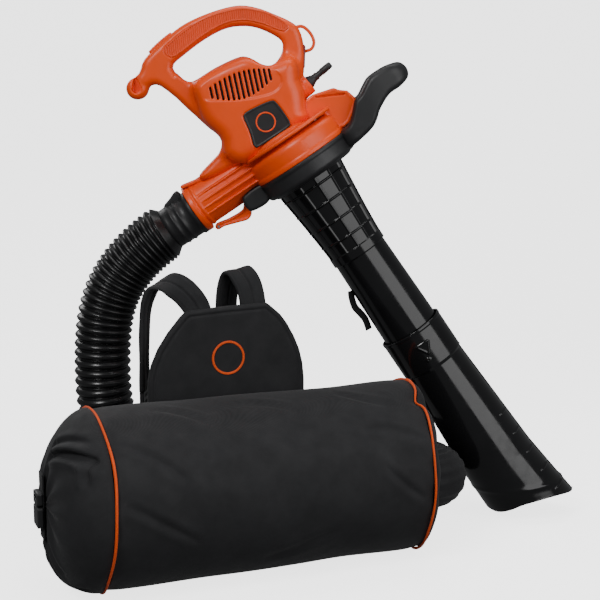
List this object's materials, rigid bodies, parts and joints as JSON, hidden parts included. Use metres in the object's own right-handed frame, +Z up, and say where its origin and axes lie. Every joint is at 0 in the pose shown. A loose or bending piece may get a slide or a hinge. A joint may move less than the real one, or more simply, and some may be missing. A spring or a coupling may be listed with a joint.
{
  "type": "leaf blower with backpack collection bag",
  "caption": "Electric leaf blower and vacuum standing on its suction tube, with a bellows hose that feeds a round backpack collection bag.",
  "frame": {"origin": "middle of the base, on the ground under the centre of the bounding box of everything but the hose", "axes": "+Z up, +X the way the suction tube leans and the mouth points, -Y towards the bag"},
  "size_m": [0.9658, 0.7662, 0.9576],
  "materials": {
    "orange_shell": "glossy orange moulded shell",
    "orange_grip": "finely ribbed orange grip panel",
    "red_tab": "dark red moulding",
    "black_shell": "black moulded plastic with a fine spark texture",
    "gloss_black_tube": "glossy black moulded tube",
    "hose_rubber": "black ribbed hose with a wire coil inside",
    "bag_fabric": "black coated polyester weave",
    "orange_piping": "orange piping cord",
    "black_webbing": "black nylon webbing",
    "buckle_plastic": "black buckle plastic",
    "red_plunger": "moulded plunger",
    "steel": "bright steel",
    "motor_steel": "stacked lamination steel",
    "copper": "enamelled copper",
    "carbon": "carbon",
    "brass": "drawn brass",
    "fan_plastic": "moulded fan plastic",
    "bracket_metal": "die-cast bracket"
  },
  "bodies": {
    "root": {"housing_right": "orange_shell", "housing_left": "orange_shell", "scroll_upper": "orange_shell", "scroll_lower": "black_shell", "motor_plate": "bracket_metal", "assist_handle": "black_shell", "assist_bracket": "orange_shell", "grip_inlay_right": "orange_grip", "grip_inlay_left": "orange_grip", "badge_right": "black_shell", "badge_left": "black_shell", "housing_screws": "steel", "cord_retainer": "orange_shell", "retainer_tab": "red_tab", "plug_body": "black_shell", "plug_blades": "steel", "switch_module": "buckle_plastic", "outlet_duct": "orange_shell", "duct_saddle": "black_shell", "latch_pin": "steel", "hose_adapter": "black_shell", "adapter_latch": "black_shell", "stator": "motor_steel", "field_coils": "copper", "brushes": "carbon", "brush_holders": "brass", "brush_springs": "steel", "upper_bearing": "steel", "lower_bearing": "steel", "bearing_bracket": "bracket_metal", "interlock_switch": "buckle_plastic", "upper_tube": "gloss_black_tube", "tether_strap": "black_webbing", "suction_hose": "hose_rubber", "bag_body": "bag_fabric", "bag_left_end": "bag_fabric", "bag_right_end": "bag_fabric", "piping_left": "orange_piping", "piping_right": "orange_piping", "bag_sleeve": "bag_fabric", "back_panel": "bag_fabric", "panel_emblem": "orange_piping", "shoulder_strap_left": "bag_fabric", "shoulder_strap_right": "bag_fabric", "strap_adjusters": "buckle_plastic", "closure_webbing": "black_webbing", "closure_buckle": "buckle_plastic"},
    "rotor": {"impeller": "fan_plastic", "impeller_nut": "steel", "motor_shaft": "steel", "armature": "motor_steel", "commutator": "copper", "cooling_fan": "fan_plastic"},
    "switch_slider": {"power_switch": "orange_shell"},
    "duct_latch": {"latch_lever": "orange_shell"},
    "lower_tube_body": {"lower_tube": "gloss_black_tube"},
    "plunger": {"interlock_plunger": "red_plunger"},
    "tongue": {"closure_tongue": "buckle_plastic"}
  },
  "joints": [
    {"name": "impeller_spin", "type": "hinge", "parent": "root", "child": "rotor", "pos_m": [-0.0876, 0.2174, 0.73768], "axis": [-0.5592, 0, 0.829], "continuous": true},
    {"name": "power_switch_slide", "type": "slide", "parent": "root", "child": "switch_slider", "axis": [0.757, 0, 0.6534], "range_m": [0, 0.01]},
    {"name": "duct_latch_pivot", "type": "hinge", "parent": "root", "child": "duct_latch", "pos_m": [-0.19504, 0.2424, 0.55183], "axis": [0, 1, 0], "range_deg": [0, 15], "stiffness_Nm_per_rad": 0.3, "springref_deg": -11.46},
    {"name": "lower_tube_pull", "type": "slide", "parent": "root", "child": "lower_tube_body", "axis": [0.5592, 0, -0.829], "range_m": [0, 0.08]},
    {"name": "interlock_press", "type": "slide", "parent": "root", "child": "plunger", "axis": [-0.5592, 0, 0.829], "range_m": [0, 0.0035], "stiffness_N_per_m": 300, "springref_m": -0.002},
    {"name": "closure_release", "type": "slide", "parent": "root", "child": "tongue", "axis": [0, 0, 1], "range_m": [0, 0.02]}
  ]
}
